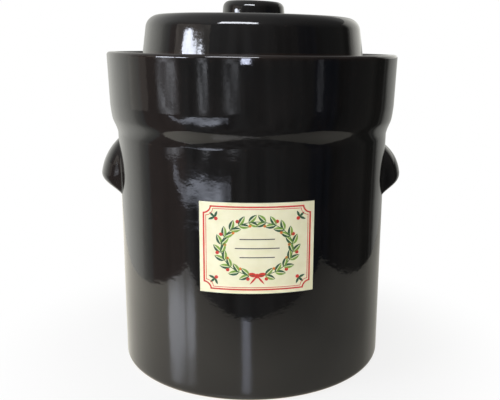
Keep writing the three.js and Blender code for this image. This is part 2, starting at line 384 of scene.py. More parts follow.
def make_collar():
    gutter = RIM_RADIUS - COLLAR_WALL
    seat = gutter - COLLAR_FILLET
    waist = RIM_RADIUS - COLLAR_FLARE
    waist_height = COLLAR_FOOT + LIP_HEIGHT
    cove_top = (COVE_RADIUS + COVE_DEPTH, COLLAR_FOOT + COVE_HEIGHT)
    bend = Vector((COVE_SLOPE * LIP_BEND, LIP_BEND))
    lip = bezier([(waist, waist_height), Vector(cove_top) + bend, cove_top], 10)
    runout = (COVE_RADIUS + COVE_RUNOUT[0], COLLAR_FOOT + COVE_RUNOUT[1])
    cove = bezier([cove_top, Vector(cove_top) - bend, runout, (COVE_RADIUS, COLLAR_FOOT)], 16)
    draft_tilt = DRAFT / (POT_TOP - DRAFT_START)
    lap_radius = COVE_RADIUS - LAP_STEP - draft_tilt * LAP
    sunk = POT_RADIUS - BUTT
    collar = draw_outline("collar", [
        (seat, GUTTER_FLOOR), (gutter, GUTTER_FLOOR), (gutter, RIM_TOP), (RIM_RADIUS, RIM_TOP),
        (waist, waist_height), *lip, *cove, (lap_radius, COLLAR_FOOT - LAP), (sunk, COLLAR_FOOT - LAP),
        (sunk, LEDGE_TOP + BUTT), (seat, LEDGE_TOP + BUTT),
    ])
    close_outline(collar)
    round_corner(collar, gutter, GUTTER_FLOOR, COLLAR_FILLET, 4)
    round_corner(collar, gutter, RIM_TOP, COLLAR_LIP, 5)
    round_corner(collar, RIM_RADIUS, RIM_TOP, COLLAR_LIP, 6)
    turn_outline(collar)
    smooth_by_hand(collar)
    return collar


def smooth_by_hand(collar):
    """The luted joint was smoothed by hand, so the lip over the cove dips and rises round the wall."""
    for point in collar.data.vertices:
        above = point.co.z - COLLAR_FOOT
        share = min(max(above / COVE_HEIGHT, 0), 1) * min(max(2 - above / LIP_HEIGHT, 0), 1)
        turn = math.atan2(point.co.x, -point.co.y)
        wave = sum(depth * math.cos(count * turn + start) for count, depth, start in JOINT_WAVES)
        if math.hypot(point.co.x, point.co.y) > COVE_RADIUS:
            point.co.z -= share * wave


def make_lid():
    shoulder_top = LID_TOP - LID_CROWN
    ceiling = shoulder_top - LID_WALL
    inner_skirt = SKIRT_RADIUS - LID_WALL
    shoulder = SKIRT_RADIUS - LID_TAPER * (shoulder_top - LID_FOOT)
    inner_shoulder = inner_skirt - LID_TAPER * (ceiling - LID_FOOT)
    half_turn = (math.pi / 2 - math.atan(LID_TAPER)) / 2
    lid = draw_outline("lid_cap", [
        (0, ceiling), (inner_shoulder, ceiling), (inner_skirt, LID_FOOT), (SKIRT_RADIUS, LID_FOOT),
        (shoulder, shoulder_top), (KNOB_RADIUS + CROWN_FLAT, LID_TOP), (0, LID_TOP),
    ])
    round_corner(lid, inner_shoulder, ceiling, LID_INNER_ROUND, 5)
    round_corner(lid, inner_skirt, LID_FOOT, SKIRT_INNER_EDGE, 3)
    round_corner(lid, SKIRT_RADIUS, LID_FOOT, SKIRT_EDGE, 4)
    round_corner(lid, shoulder, shoulder_top, LID_SHOULDER * math.tan(half_turn), 12)
    turn_outline(lid)
    tip_top(lid, RIM_TOP, LID_TOP, CROWN_TIP)
    return lid


def make_knob():
    foot = KNOB_FOOT - 2 * BUTT
    top_radius = KNOB_RADIUS - KNOB_TAPER * (KNOB_TOP - KNOB_FOOT)
    half_turn = (math.pi / 2 - math.atan(KNOB_TAPER)) / 2
    knob = draw_outline("knob", [
        (0, foot), (KNOB_RADIUS, foot), (top_radius, KNOB_TOP), (0, KNOB_TOP + KNOB_CROWN),
    ])
    round_corner(knob, top_radius, KNOB_TOP, KNOB_EDGE * math.tan(half_turn), 7)
    turn_outline(knob)
    tip_top(knob, KNOB_FOOT, KNOB_TOP, KNOB_TIP)
    return knob


def cut_vents(lid):
    """Two arches through the foot of the lid's skirt, cut by one bar that runs from front to back."""
    bpy.ops.object.select_all(action="DESELECT")
    bpy.ops.mesh.primitive_cube_add(size=1, location=(0, 0, 0))
    cutter = bpy.context.object
    bpy.ops.object.mode_set(mode="EDIT")
    bpy.ops.transform.resize(value=(VENT_WIDTH, 3 * SKIRT_RADIUS, 2 * VENT_HEIGHT))
    bpy.ops.transform.translate(value=(0, 0, LID_FOOT))
    pick(cutter, lambda place: place.z > LID_FOOT + VENT_HEIGHT * 0.9
         and abs(place.x) > VENT_WIDTH * 0.4, "edges")
    bpy.ops.mesh.bevel(offset=VENT_WIDTH * 0.49, segments=8, profile=0.5)
    bpy.ops.object.mode_set(mode="OBJECT")
    apply_modifier(lid, "BOOLEAN", object=cutter, operation="DIFFERENCE", solver="EXACT")
    bpy.data.objects.remove(cutter)


# Ears
def press_ends(ear, wall, nose, over, reach, half_angle):
    """Presses a swept ear towards the wall at both ends, rounded above the nose and crisp under it."""
    mesh = bmesh.from_edit_mesh(ear.data)
    for point in mesh.verts:
        radius = math.hypot(point.co.x, point.co.y)
        out = radius - wall
        if out <= 0:
            continue
        above = max((point.co.z - nose) / over, 0)
        width = EAR_WIDTH / (1 + EAR_LEAN * above ** 2)
        along = (math.atan2(point.co.y, point.co.x) + half_angle) * 2 * POT_RADIUS / width
        limit = (reach + EAR_CROWN) * EAR_FILLET * math.log1p(math.exp((1 - along ** 2) / EAR_FILLET))
        below = min(max((nose - point.co.z) / EAR_ROUND, 0), 1)
        soft = EAR_ROUND + (EAR_UNDER_ROUND - EAR_ROUND) * below
        meet = max(soft - abs(out - limit), 0) / soft
        pressed = wall + min(out, limit) - meet ** 2 * soft / 4
        point.co.x *= pressed / radius
        point.co.y *= pressed / radius
    bmesh.update_edit_mesh(ear.data)


def make_ear(name, turn, nose, over, under, reach, brow, chin):
    """One pressed ear: its section is drawn, swept round the wall, and pressed in towards both ends.

    The nose is its furthest point. brow and chin pull the curves over and under it, as shares of its size.
    """
    wall = POT_RADIUS - EAR_SINK
    root = -POT_WALL / 2
    tip = reach + EAR_SINK
    joint_top = (0, over + EAR_JOINT_RISE)
    joint_bend = (EAR_JOINT_BEND[0], over - EAR_JOINT_BEND[1])
    brow_start = (EAR_BROW_START[0], over - EAR_BROW_START[1])
    nose_pull = (tip, -under * chin[0])
    chin_pull = (tip * EAR_ROOT_PULL, -under * chin[1])
    section = [
        (root, over + EAR_JOINT_RISE),
        joint_top,
        *bezier([joint_top, joint_bend, brow_start], 3),
        *bezier([brow_start, (tip * brow[0], over * brow[1]), (tip, 0)], 24),
        *bezier([(tip, 0), nose_pull, chin_pull, (0, -under)], 24),
        (root, -under),
    ]
    ear = draw_outline(name, [(wall + out, nose + rise) for out, rise in section])
    close_outline(ear)
    round_corner(ear, wall + tip, nose, EAR_NOSE_ROUND, 4)
    half_angle = EAR_TAIL * EAR_WIDTH / 2 / POT_RADIUS
    bpy.ops.mesh.select_mode(type="VERT")
    bpy.ops.mesh.select_all(action="SELECT")
    bpy.ops.mesh.spin(steps=EAR_STEPS, angle=2 * half_angle, center=(0, 0, 0), axis=(0, 0, 1))
    press_ends(ear, wall, nose, over, tip, half_angle)
    for end in (0, -2 * half_angle):
        pick(ear, lambda place: abs(math.atan2(place.y, place.x) - end) < 0.2 * half_angle / EAR_STEPS)
        bpy.ops.mesh.edge_face_add()
    close_mesh(ear)
    ear.rotation_euler.z = half_angle + turn
    bpy.ops.object.transform_apply(location=False, rotation=True, scale=False)
    return ear


# Weight stones
def make_stone(name, turn):
    """A half disc of bare stoneware with a finger notch in its straight edge."""
    thickness = STONE_TOP - STONE_FOOT
    bpy.ops.object.select_all(action="DESELECT")
    bpy.ops.mesh.primitive_cylinder_add(vertices=TURN_STEPS, radius=STONE_RADIUS, depth=thickness,
                                        location=(0, 0, 0), end_fill_type="NGON")
    stone = bpy.context.object
    stone.name = name
    stone.data.name = name
    bpy.ops.object.mode_set(mode="EDIT")
    middle = STONE_FOOT + thickness / 2
    bpy.ops.transform.translate(value=(0, 0, middle))
    bpy.ops.mesh.select_all(action="SELECT")
    bpy.ops.mesh.bisect(plane_co=(0, -STONE_SPLIT, 0), plane_no=(0, 1, 0), use_fill=True, clear_outer=True)
    pick(stone, lambda place: place.y > -STONE_SPLIT - 0.01 * MM and abs(place.x) > STONE_RADIUS * 0.9
         and abs(place.z - middle) < MM, "edges")
    bpy.ops.mesh.bevel(offset=STONE_CORNER, segments=8, profile=0.5)
    bpy.ops.object.mode_set(mode="OBJECT")
    bpy.ops.object.select_all(action="DESELECT")
    bpy.ops.mesh.primitive_cylinder_add(vertices=NOTCH_STEPS, radius=FINGER_NOTCH, depth=3 * thickness,
                                        location=(0, -STONE_SPLIT, middle))
    cutter = bpy.context.object
    apply_modifier(stone, "BOOLEAN", object=cutter, operation="DIFFERENCE", solver="EXACT")
    bpy.data.objects.remove(cutter)
    apply_modifier(stone, "BEVEL", width=STONE_EDGE, segments=3, limit_method="ANGLE",
                   angle_limit=math.radians(40))
    stone.select_set(True)
    bpy.context.view_layer.objects.active = stone
    bpy.ops.object.mode_set(mode="EDIT")
    bpy.ops.mesh.select_all(action="SELECT")
    bpy.ops.mesh.remove_doubles(threshold=SLIVER)
    bpy.ops.object.mode_set(mode="OBJECT")
    bpy.ops.object.shade_smooth_by_angle(angle=math.radians(35))
    stone.rotation_euler.z = turn
    bpy.ops.object.transform_apply(location=False, rotation=True, scale=False)
    return stone


# Label
def make_paper():
    """The back of the paper: a strip spun round the front of the pot, then given its thickness."""
    angle = LABEL_WIDTH / POT_RADIUS
    back = LABEL_FACE - PAPER_THICKNESS
    paper = draw_outline("label_paper", [(back, LABEL_FOOT), (back, LABEL_TOP)])
    split_long_edges(paper, PAPER_ROW)
    bpy.ops.mesh.select_mode(type="VERT")
    bpy.ops.mesh.select_all(action="SELECT")
    bpy.ops.mesh.spin(steps=PAPER_STEPS, angle=angle, center=(0, 0, 0), axis=(0, 0, 1))
    bpy.ops.mesh.select_all(action="SELECT")
    bpy.ops.mesh.normals_make_consistent(inside=False)
    bpy.ops.object.mode_set(mode="OBJECT")
    paper.rotation_euler.z = angle / 2 - math.pi / 2
    bpy.ops.object.transform_apply(location=False, rotation=True, scale=False)
    apply_modifier(paper, "SOLIDIFY", thickness=PAPER_THICKNESS, offset=1)
    return paper


# Print on the label: a wreath of leaves in a ruled frame, with lines to write on
LEAF_LENGTH = 9.5 * MM
LEAF_WIDTH = 4.2 * MM
LEAF_PAIRS = 10
LEAF_LEAN = math.radians(33)
WREATH_ACROSS = 31 * MM
WREATH_UP = 24 * MM
STEM_LINE = 0.55 * MM
BERRY_RADIUS = 1.55 * MM
BERRY_STALK = 3.4 * MM
BERRY_LEAN = math.radians(82)
KNOT_RADIUS = 2.1 * MM
LOOP_SIZE = (8.5 * MM, 3.6 * MM)
LOOP_TURNS = (14, 166)
TAIL_SIZE = (10 * MM, 1.5 * MM)
TAIL_TURNS = (-50, -130)
CORNER_INSET = 13 * MM
CORNER_TURNS = (112.4, 180, 247.6)
CORNER_BERRY = 1.6 * MM
FRAME_INSET = 3 * MM
FRAME_NOTCH = 6 * MM
FRAME_LINE = 1.3 * MM
FRAME_GAP = 2.3 * MM
FRAME_FINE_LINE = 0.5 * MM
RULE_LENGTHS = (30 * MM, 38 * MM, 30 * MM)
RULE_GAP = 8 * MM
RULE_LINE = 0.8 * MM


def draw_shape(points, line=None):
    """A flat shape in the label's plane; with a line width, its border alone."""
    shape = draw_outline("print", points)
    close_outline(shape)
    bpy.ops.mesh.select_all(action="SELECT")
    bpy.ops.mesh.edge_face_add()
    if line:
        bpy.ops.mesh.select_mode(type="FACE")
        bpy.ops.mesh.select_all(action="SELECT")
        bpy.ops.mesh.inset(thickness=line)
        bpy.ops.mesh.delete(type="FACE")
    split_long_edges(shape, PRINT_ROW)
    bpy.ops.object.mode_set(mode="OBJECT")
    return shape


def circle_points(across, up, steps):
    """Points round an ellipse."""
    turns = [FULL_TURN * i / steps for i in range(steps)]
    return [(across * math.cos(turn), up * math.sin(turn)) for turn in turns]


def leaf_points(length, width, sides):
    """Half of a pointed leaf, or all of it, from its stalk to its tip and back along the midrib."""
    bow = 0.72 * width
    edge = bezier([(0, 0), (length * 0.2, bow), (length * 0.65, bow), (length, 0)], 9)
    if sides == 2:
        back = [(out, -up) for out, up in reversed(edge[:-1])]
    else:
        back = [(length * share, 0.08 * width) for share in (0.75, 0.5, 0.25)]
    return [(0, 0)] + edge + back


def frame_points(inset):
    """A rectangle inside the label's edge, its corners cut by a quarter round that curves inwards."""
    wide = LABEL_FACE * math.sin(LABEL_WIDTH / 2 / POT_RADIUS) - inset
    tall = (LABEL_TOP - LABEL_FOOT) / 2 - inset
    notch = FRAME_NOTCH
    points = []
    for right, up in ((1, -1), (1, 1), (-1, 1), (-1, -1)):
        corner = [(right * (wide - notch * math.cos(turn)), up * (tall - notch * math.sin(turn)))
                  for turn in (math.pi / 16 * i for i in range(9))]
        points += corner if right * up < 0 else corner[::-1]
    return points


def lay_copies(motif, places):
    """Copies of one motif, each moved and turned in the label's plane."""
    copies = []
    for across, rise, turn in places:
        copy = motif.copy()
        copy.data = motif.data.copy()
        bpy.context.scene.collection.objects.link(copy)
        copy.location = (across, 0, rise)
        copy.rotation_euler.y = -turn
        copies.append(copy)
    bpy.data.objects.remove(motif)
    return copies


def wreath_places():
    """Where the wreath's leaves and berries go: both sides climb from the bottom to the top."""
    leaves = {1: [], -1: []}
    berries = []
    for side in (1, -1):
        for pair in range(LEAF_PAIRS):
            share = (pair + 0.75) / (LEAF_PAIRS + 0.55)
            turn = -math.pi / 2 + side * math.pi * share
            across = WREATH_ACROSS * math.cos(turn)
            rise = WREATH_UP * math.sin(turn)
            heading = math.atan2(side * WREATH_UP * math.cos(turn), -side * WREATH_ACROSS * math.sin(turn))
            for lean in (1, -1):
                leaves[lean].append((across, rise, heading + lean * LEAF_LEAN))
            berry_side = side if pair % 2 else -side
            berry = heading + berry_side * BERRY_LEAN
            berries.append((across + BERRY_STALK * math.cos(berry), rise + BERRY_STALK * math.sin(berry), 0))
    return leaves[1] + leaves[-1], berries


def corner_places():
    """Where the leaves and the berry of each corner's sprig go."""
    leaves = []
    berries = []
    label_wide = LABEL_FACE * math.sin(LABEL_WIDTH / 2 / POT_RADIUS)
    label_tall = (LABEL_TOP - LABEL_FOOT) / 2
    for right, up in ((1, 1), (-1, 1), (-1, -1), (1, -1)):
        across = right * (label_wide - CORNER_INSET)
        rise = up * (label_tall - CORNER_INSET)
        inward = math.atan2(-up, -right)
        for turn in CORNER_TURNS:
            leaves.append((across, rise, inward + math.radians(turn)))
        berries.append((across + CORNER_BERRY * math.cos(inward), rise + CORNER_BERRY * math.sin(inward), 0))
    return leaves, berries


def print_inks():
    """The drawing as lists of flat shapes, one list for each ink."""
    leaves, berries = wreath_places()
    corner_leaves, corner_berries = corner_places()
    dark_half = draw_shape(leaf_points(LEAF_LENGTH, LEAF_WIDTH, 1))
    light_half = draw_shape([(out, -up) for out, up in leaf_points(LEAF_LENGTH, LEAF_WIDTH, 1)][::-1])
    corner_leaf = draw_shape(leaf_points(LEAF_LENGTH * 0.62, LEAF_WIDTH * 0.45, 2))
    red_berry = draw_shape(circle_points(BERRY_RADIUS, BERRY_RADIUS, 16))
    orange_berry = draw_shape(circle_points(BERRY_RADIUS * 0.8, BERRY_RADIUS * 0.8, 16))
    knot = draw_shape(circle_points(KNOT_RADIUS, KNOT_RADIUS, 20))
    loop = draw_shape(leaf_points(*LOOP_SIZE, 2))
    tail = draw_shape(leaf_points(*TAIL_SIZE, 2))
    foot = -WREATH_UP
    green = lay_copies(dark_half, leaves)
    leaf_green = lay_copies(light_half, leaves)
    green += lay_copies(corner_leaf, corner_leaves)
    red = lay_copies(red_berry, berries[0::2] + corner_berries)
    orange = lay_copies(orange_berry, berries[1::2])
    red += lay_copies(knot, [(0, foot, 0)])
    red += lay_copies(loop, [(0, foot, math.radians(turn)) for turn in LOOP_TURNS])
    red += lay_copies(tail, [(0, foot, math.radians(turn)) for turn in TAIL_TURNS])
    red.append(draw_shape(frame_points(FRAME_INSET), FRAME_LINE))
    red.append(draw_shape(frame_points(FRAME_INSET + FRAME_GAP), FRAME_FINE_LINE))
    green.append(draw_shape(circle_points(WREATH_ACROSS, WREATH_UP, 72), STEM_LINE))
    dark = []
    for row, length in enumerate(RULE_LENGTHS):
        rise = RULE_GAP * (1 - row)
        dark.append(draw_shape([(-length / 2, rise), (length / 2, rise), (length / 2, rise + RULE_LINE),
                                (-length / 2, rise + RULE_LINE)]))
    return {"red": red, "orange": orange, "green": green, "leaf_green": leaf_green, "dark": dark}


def press_print(name, shapes, paper):
    """Joins one ink's shapes, presses them onto the paper and gives the ink its thickness."""
    bpy.ops.object.select_all(action="DESELECT")
    for shape in shapes:
        shape.select_set(True)
    ink = shapes[0]
    bpy.context.view_layer.objects.active = ink
    if len(shapes) > 1:
        bpy.ops.object.join()
    ink.name = name
    ink.data.name = name
    bpy.ops.object.transform_apply(location=True, rotation=True, scale=False)
    bpy.ops.object.mode_set(mode="EDIT")
    bpy.ops.mesh.select_mode(type="FACE")
    bpy.ops.mesh.select_all(action="DESELECT")
    mesh = bmesh.from_edit_mesh(ink.data)
    for face in mesh.faces:
        face.select_set(face.normal.y > 0)
    bmesh.update_edit_mesh(ink.data)
    bpy.ops.mesh.flip_normals()
    bpy.ops.mesh.select_all(action="SELECT")
    bpy.ops.transform.translate(value=(0, -LABEL_FACE - PRINT_STANDOFF, LABEL_MIDDLE))
    bpy.ops.object.mode_set(mode="OBJECT")
    apply_modifier(ink, "SHRINKWRAP", target=paper, wrap_method="PROJECT", use_project_y=True,
                   use_positive_direction=True, use_negative_direction=False, offset=INK_LIFT)
    apply_modifier(ink, "SOLIDIFY", thickness=INK_DEPTH, offset=-1)
    return ink


pot = make_pot()
neck = make_neck()
collar = make_collar()
lid = make_lid()
knob = make_knob()
make_uneven(pot, swell=45 * MM, depth=0.25 * MM)
make_uneven(collar, swell=40 * MM, depth=0.25 * MM)
make_uneven(neck, swell=40 * MM, depth=0.2 * MM)
make_uneven(lid, swell=45 * MM, depth=0.2 * MM)
cut_vents(lid)
ear_right = make_ear("ear_right", turn=0, nose=EAR_NOSE - 0.3 * MM, over=EAR_HEIGHT * 0.455,
                     under=EAR_HEIGHT * 0.355, reach=EAR_REACH * 1.08, brow=(0.77, 0.49), chin=(0.5, 0.64))
ear_left = make_ear("ear_left", turn=math.pi, nose=EAR_NOSE - 2.0 * MM, over=EAR_HEIGHT * 0.565,
                    under=EAR_HEIGHT * 0.33, reach=EAR_REACH * 1.19, brow=(0.74, 0.48), chin=(0.42, 0.62))
stone_front = make_stone("stone_front", 0)
stone_back = make_stone("stone_back", math.pi)
paper = make_paper()
inks = {ink: press_print("print_" + ink, shapes, paper) for ink, shapes in print_inks().items()}
for piece in [paper, *inks.values()]:
    bpy.ops.object.select_all(action="DESELECT")
    piece.select_set(True)
    bpy.context.view_layer.objects.active = piece
    piece.rotation_euler.z = LABEL_TURN
    bpy.ops.object.transform_apply(location=False, rotation=True, scale=False)


def start_material(name):
    """A new material with its node tree, its shader and the piece's own coordinates."""
    material = bpy.data.materials.new(name)
    material.use_nodes = True
    tree = material.node_tree
    place = add_node(tree, "ShaderNodeTexCoord").outputs["Object"]
    return material, tree, tree.nodes["Principled BSDF"], place


# Glaze: dark iron glaze on thrown stoneware, fired to a hard gloss.
# It reads nearly black, browner where it ran thin on the rim, with fine iron specks. Its orange-peel
# skin breaks up the edges of what it mirrors.
def make_glaze():
    material, tree, shader, place = start_material("iron_glaze_stoneware")
    cloud = add_node(tree, "ShaderNodeTexNoise", {"Vector": place, "Scale": 1 / (28 * MM), "Detail": 4.0})
    tone = add_node(tree, "ShaderNodeValToRGB", {"Fac": cloud.outputs["Fac"]})
    set_ramp(tone, [(0.35, linear("#080707")), (0.68, linear("#0e0b0a"))])
    grain = add_node(tree, "ShaderNodeTexVoronoi", {"Vector": place, "Scale": 1 / (5 * MM)})
    speck = add_node(tree, "ShaderNodeMapRange", {"Value": grain.outputs["Distance"], "From Min": 0.06,
                                                  "From Max": 0.12, "To Min": 0.7, "To Max": 0.0})
    specked = add_node(tree, "ShaderNodeMix", {0: speck.outputs["Result"], 6: tone.outputs["Color"],
                                               7: linear("#2b2019")}, data_type="RGBA")
    height = add_node(tree, "ShaderNodeSeparateXYZ", {0: place})
    crest = add_node(tree, "ShaderNodeMapRange", {
        "Value": height.outputs["Z"], "From Min": RIM_TOP - 5 * MM, "From Max": RIM_TOP - 0.5 * MM,
        "To Max": 0.6})
    below = add_node(tree, "ShaderNodeMath", {0: height.outputs["Z"], 1: RIM_TOP + 1 * MM},
                     operation="LESS_THAN")
    thin = add_node(tree, "ShaderNodeMath", {0: crest.outputs["Result"], 1: below.outputs["Value"]},
                    operation="MULTIPLY")
    broken = add_node(tree, "ShaderNodeMath", {0: thin.outputs["Value"], 1: cloud.outputs["Fac"]},
                      operation="MULTIPLY")
    colour = add_node(tree, "ShaderNodeMix", {0: broken.outputs["Value"], 6: specked.outputs[2],
                                              7: linear("#2c1d15")}, data_type="RGBA")
    tree.links.new(colour.outputs[2], shader.inputs["Base Color"])
    gloss = add_node(tree, "ShaderNodeMapRange", {
        "Value": cloud.outputs["Fac"], "From Min": 0.3, "From Max": 0.7, "To Min": 0.045, "To Max": 0.085})
    tree.links.new(gloss.outputs["Result"], shader.inputs["Roughness"])
    shader.inputs["IOR"].default_value = 1.52
    thrown = add_node(tree, "ShaderNodeMapping", {"Vector": place, "Scale": (1, 1, 1.6)})
    ripple = add_node(tree, "ShaderNodeTexNoise", {
        "Vector": thrown.outputs["Vector"], "Scale": 1 / (5.5 * MM), "Detail": 0.0})
    peel = add_node(tree, "ShaderNodeTexNoise", {"Vector": place, "Scale": 1 / (1.8 * MM), "Detail": 1.0})
    waves = add_node(tree, "ShaderNodeBump", {"Height": ripple.outputs["Fac"], "Strength": 1.0,
                                              "Distance": 0.023 * MM})
    bump = add_node(tree, "ShaderNodeBump", {"Height": peel.outputs["Fac"], "Strength": 1.0,
                                             "Distance": 0.02 * MM, "Normal": waves.outputs["Normal"]})
    tree.links.new(bump.outputs["Normal"], shader.inputs["Normal"])
    return material


# Bare stoneware: buff clay fired without glaze, dry and sandy, with dark iron specks.
def make_bare_stoneware():
    material, tree, shader, place = start_material("bare_stoneware")
    cloud = add_node(tree, "ShaderNodeTexNoise", {"Vector": place, "Scale": 1 / (18 * MM), "Detail": 5.0})
    tone = add_node(tree, "ShaderNodeValToRGB", {"Fac": cloud.outputs["Fac"]})
    set_ramp(tone, [(0.35, linear("#a8957a")), (0.68, linear("#c3b296"))])
    speck = add_node(tree, "ShaderNodeTexVoronoi", {"Vector": place, "Scale": 1 / (4 * MM)})
    spot = add_node(tree, "ShaderNodeMapRange", {
        "Value": speck.outputs["Distance"], "From Min": 0.1, "From Max": 0.16, "To Min": 1.0, "To Max": 0.0})
    mixed = add_node(tree, "ShaderNodeMix", {0: spot.outputs["Result"], 6: tone.outputs["Color"],
                                             7: linear("#5d4733")}, data_type="RGBA")
    tree.links.new(mixed.outputs[2], shader.inputs["Base Color"])
    shader.inputs["Roughness"].default_value = 0.85
    grit = add_node(tree, "ShaderNodeTexNoise", {"Vector": place, "Scale": 1 / (1.5 * MM), "Detail": 3.0})
    bump = add_node(tree, "ShaderNodeBump", {
        "Height": grit.outputs["Fac"], "Strength": 1.0, "Distance": 0.15 * MM})
    tree.links.new(bump.outputs["Normal"], shader.inputs["Normal"])
    return material


# Paper: coated label paper, cream, with a soft sheen and faint fibre mottling.
def make_paper_stock():
    material, tree, shader, place = start_material("coated_label_paper")
    cloud = add_node(tree, "ShaderNodeTexNoise", {"Vector": place, "Scale": 1 / (9 * MM), "Detail": 5.0})
    tone = add_node(tree, "ShaderNodeValToRGB", {"Fac": cloud.outputs["Fac"]})
    set_ramp(tone, [(0.3, linear("#e6e2bd")), (0.7, linear("#eeeacb"))])
    tree.links.new(tone.outputs["Color"], shader.inputs["Base Color"])
    shader.inputs["Roughness"].default_value = 0.5
    return material


# Ink: offset print on coated paper, slightly uneven in its film, with the paper's soft sheen.
def make_ink(name, light, dark):
    material, tree, shader, place = start_material("offset_ink_" + name)
    film = add_node(tree, "ShaderNodeTexNoise", {"Vector": place, "Scale": 1 / (2.5 * MM), "Detail": 3.0})
    tone = add_node(tree, "ShaderNodeValToRGB", {"Fac": film.outputs["Fac"]})
    set_ramp(tone, [(0.35, linear(dark)), (0.65, linear(light))])
    tree.links.new(tone.outputs["Color"], shader.inputs["Base Color"])
    sheen = add_node(tree, "ShaderNodeMapRange", {
        "Value": film.outputs["Fac"], "To Min": 0.35, "To Max": 0.5})
    tree.links.new(sheen.outputs["Result"], shader.inputs["Roughness"])
    return material


INK_COLOURS = {
    "red": ("#d43a2c", "#c42d22"),
    "orange": ("#e58533", "#d86f26"),
    "green": ("#2f5c3a", "#234a2d"),
    "leaf_green": ("#86ad45", "#729a38"),
    "dark": ("#33312c", "#26241f"),
}

glaze = make_glaze()
bare_stoneware = make_bare_stoneware()
paper_stock = make_paper_stock()


def finish_piece(piece, material, body, slot, *nodes):
    """Gives a piece its material and its body, and hides the CAD nodes it stands for. The finish slot is not
    used.
    """
    piece.data.materials.clear()
    piece.data.materials.append(material)
    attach(piece, body)
    if nodes:
        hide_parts(*nodes)


finish_piece(pot, glaze, "crock", "glaze", "pot_body")
finish_piece(neck, glaze, "crock", "glaze", "neck_ring")
finish_piece(collar, glaze, "crock", "glaze", "gutter_collar")
finish_piece(ear_left, glaze, "crock", "glaze", "handle_left")
finish_piece(ear_right, glaze, "crock", "glaze", "handle_right")
finish_piece(lid, glaze, "lid", "glaze", "lid")
finish_piece(knob, glaze, "lid", "glaze", "lid_knob")
finish_piece(stone_front, bare_stoneware, "stone_front", "bare_stoneware", "weight_stone_front")
finish_piece(stone_back, bare_stoneware, "stone_back", "bare_stoneware", "weight_stone_back")
finish_piece(paper, paper_stock, "crock", "paper", "label")
for ink_name, ink in inks.items():
    finish_piece(ink, make_ink(ink_name, *INK_COLOURS[ink_name]), "crock", "paper")

# A face looks straight down when the height of its normal is less than this
LOOKS_DOWN = -0.75


def leave_bare(piece, foot, under):
    """Wipes the glaze off the faces below foot, and off those below under that look straight down."""
    piece.data.materials.append(bare_stoneware)
    for face in piece.data.polygons:
        looks_down = face.normal.z < LOOKS_DOWN
        if face.center.z < foot or (looks_down and face.center.z < under):
            face.material_index = 1


leave_bare(pot, BARE_FOOT, FLOOR_TOP)
leave_bare(lid, 0, LID_FOOT + BARE_SKIRT)


# Studio: a pale table, a pale backdrop behind, dim boards in front, and softboxes at the left
TABLE_LEFT = -0.375
TABLE_RIGHT = 0.42
TABLE_FRONT = -0.326
TABLE_BACK = 1.2
TABLE_CORNER = 0.015
# Where the painted shade towards the table's front edge ends
TABLE_PAINTED_SHADE_END = -0.19
FLOOR_DROP = 0.4 * MM
SURROUND = 6


def make_table_top():
    """Pale laminate. The camera sees it nearly white with a soft shadow; the glaze sees its gloss, painted
    light that is brighter at the left, and painted shade towards the front edge.
    """
    material, tree, gloss, place = start_material("pale_table_with_painted_light")
    out = tree.nodes["Material Output"]
    gloss.inputs["Roughness"].default_value = 0.16
    # Painted light: the table itself emits a warm light, seen by the glaze and lighting the crock, though it
    # is no lamp.
    gloss.inputs["Emission Color"].default_value = (1, 0.94, 0.8, 1)
    parts = add_node(tree, "ShaderNodeSeparateXYZ", {0: place})
    laminate = linear("#efece0")[:3]
    # Painted light: the emission is strongest at the left and fades out towards the right.
    painted_glow = add_node(tree, "ShaderNodeMapRange", {
        "Value": parts.outputs["X"], "From Min": -0.3, "From Max": 0.2, "To Min": 0.66, "To Max": 0.0})
    # Painted shade: darker towards the front edge, both in the table's colour and in its painted light.
    depth = add_node(tree, "ShaderNodeMapRange", {
        "Value": parts.outputs["Y"], "From Min": TABLE_FRONT, "From Max": TABLE_PAINTED_SHADE_END, "To Min": 0.6,
        "To Max": 1.0})
    painted_glow_and_shade = add_node(tree, "ShaderNodeMath", {0: painted_glow.outputs["Result"], 1: depth.outputs["Result"]},
                           operation="MULTIPLY")
    tree.links.new(painted_glow_and_shade.outputs["Value"], gloss.inputs["Emission Strength"])
    # The table's colour, darkened by the painted shade towards the front edge.
    pale = add_node(tree, "ShaderNodeVectorMath", {0: laminate, "Scale": depth.outputs["Result"]},
                    operation="SCALE")
    tree.links.new(pale.outputs["Vector"], gloss.inputs["Base Color"])
    distance = add_node(tree, "ShaderNodeVectorMath", {0: place}, operation="LENGTH")
    far = add_node(tree, "ShaderNodeMapRange", {
        "Value": distance.outputs["Value"], "From Min": 0.14, "From Max": 0.3, "To Min": 0.82, "To Max": 1.0},
        interpolation_type="SMOOTHSTEP")
    matt = add_node(tree, "ShaderNodeBsdfDiffuse", {"Color": linear("#f4f4f0")})
    white = add_node(tree, "ShaderNodeEmission", {"Color": (1, 1, 1, 1), "Strength": 1.0})
    seen = add_node(tree, "ShaderNodeMixShader", {
        0: far.outputs["Result"], 1: matt.outputs["BSDF"], 2: white.outputs["Emission"]})
    path = add_node(tree, "ShaderNodeLightPath")
    either = add_node(tree, "ShaderNodeMixShader", {
        0: path.outputs["Is Camera Ray"], 1: gloss.outputs["BSDF"], 2: seen.outputs["Shader"]})
    tree.links.new(either.outputs["Shader"], out.inputs["Surface"])
    return material


def add_floor(name, left, right, front, back, height):
    """A sheet of floor whose front corners are rounded."""
    bpy.ops.object.select_all(action="DESELECT")
    bpy.ops.mesh.primitive_plane_add(size=1, location=(0, 0, 0))
    floor = bpy.context.object
    floor.name = name
    bpy.ops.object.mode_set(mode="EDIT")
    bpy.ops.transform.resize(value=(right - left, back - front, 1))
    bpy.ops.transform.translate(value=((left + right) / 2, (front + back) / 2, height))
    pick(floor, lambda place: place.y < front + MM)
    bpy.ops.mesh.bevel(affect="VERTICES", offset=TABLE_CORNER, segments=8, profile=0.5)
    bpy.ops.object.mode_set(mode="OBJECT")
    return floor


